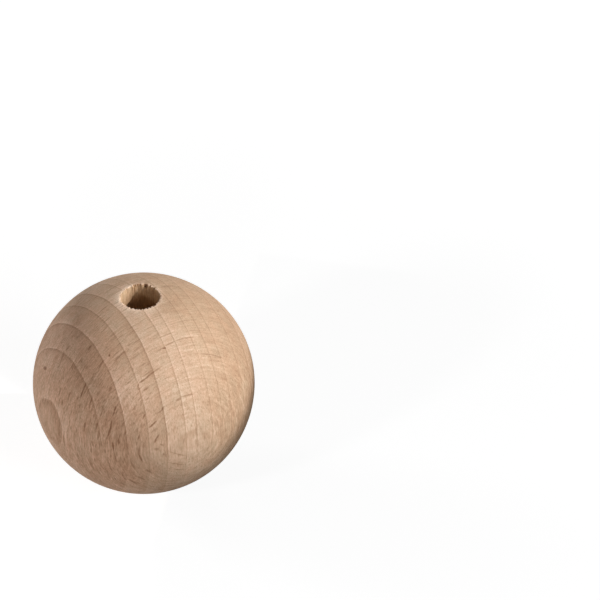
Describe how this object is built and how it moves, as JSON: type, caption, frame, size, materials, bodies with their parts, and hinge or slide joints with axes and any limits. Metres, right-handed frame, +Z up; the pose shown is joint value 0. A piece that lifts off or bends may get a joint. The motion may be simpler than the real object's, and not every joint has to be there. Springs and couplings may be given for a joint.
{
  "type": "wooden ball",
  "caption": "Turned beech ball with a round hole drilled right through it, eased at both mouths, to thread on a cord or seat on a slim rod.",
  "frame": {"origin": "centre of the ball, halfway along the hole", "axes": "+Z up along the hole, out of the upper mouth; the ball is round about +Z, so +X and +Y are free apart from the direction of the grain"},
  "size_m": [0.035, 0.035, 0.0344],
  "materials": {
    "beech_wood": "raw turned beech, sanded and unvarnished, with growth rings, ray flecks and fine pores"
  },
  "bodies": {
    "root": {"ball": "beech_wood"}
  },
  "joints": []
}
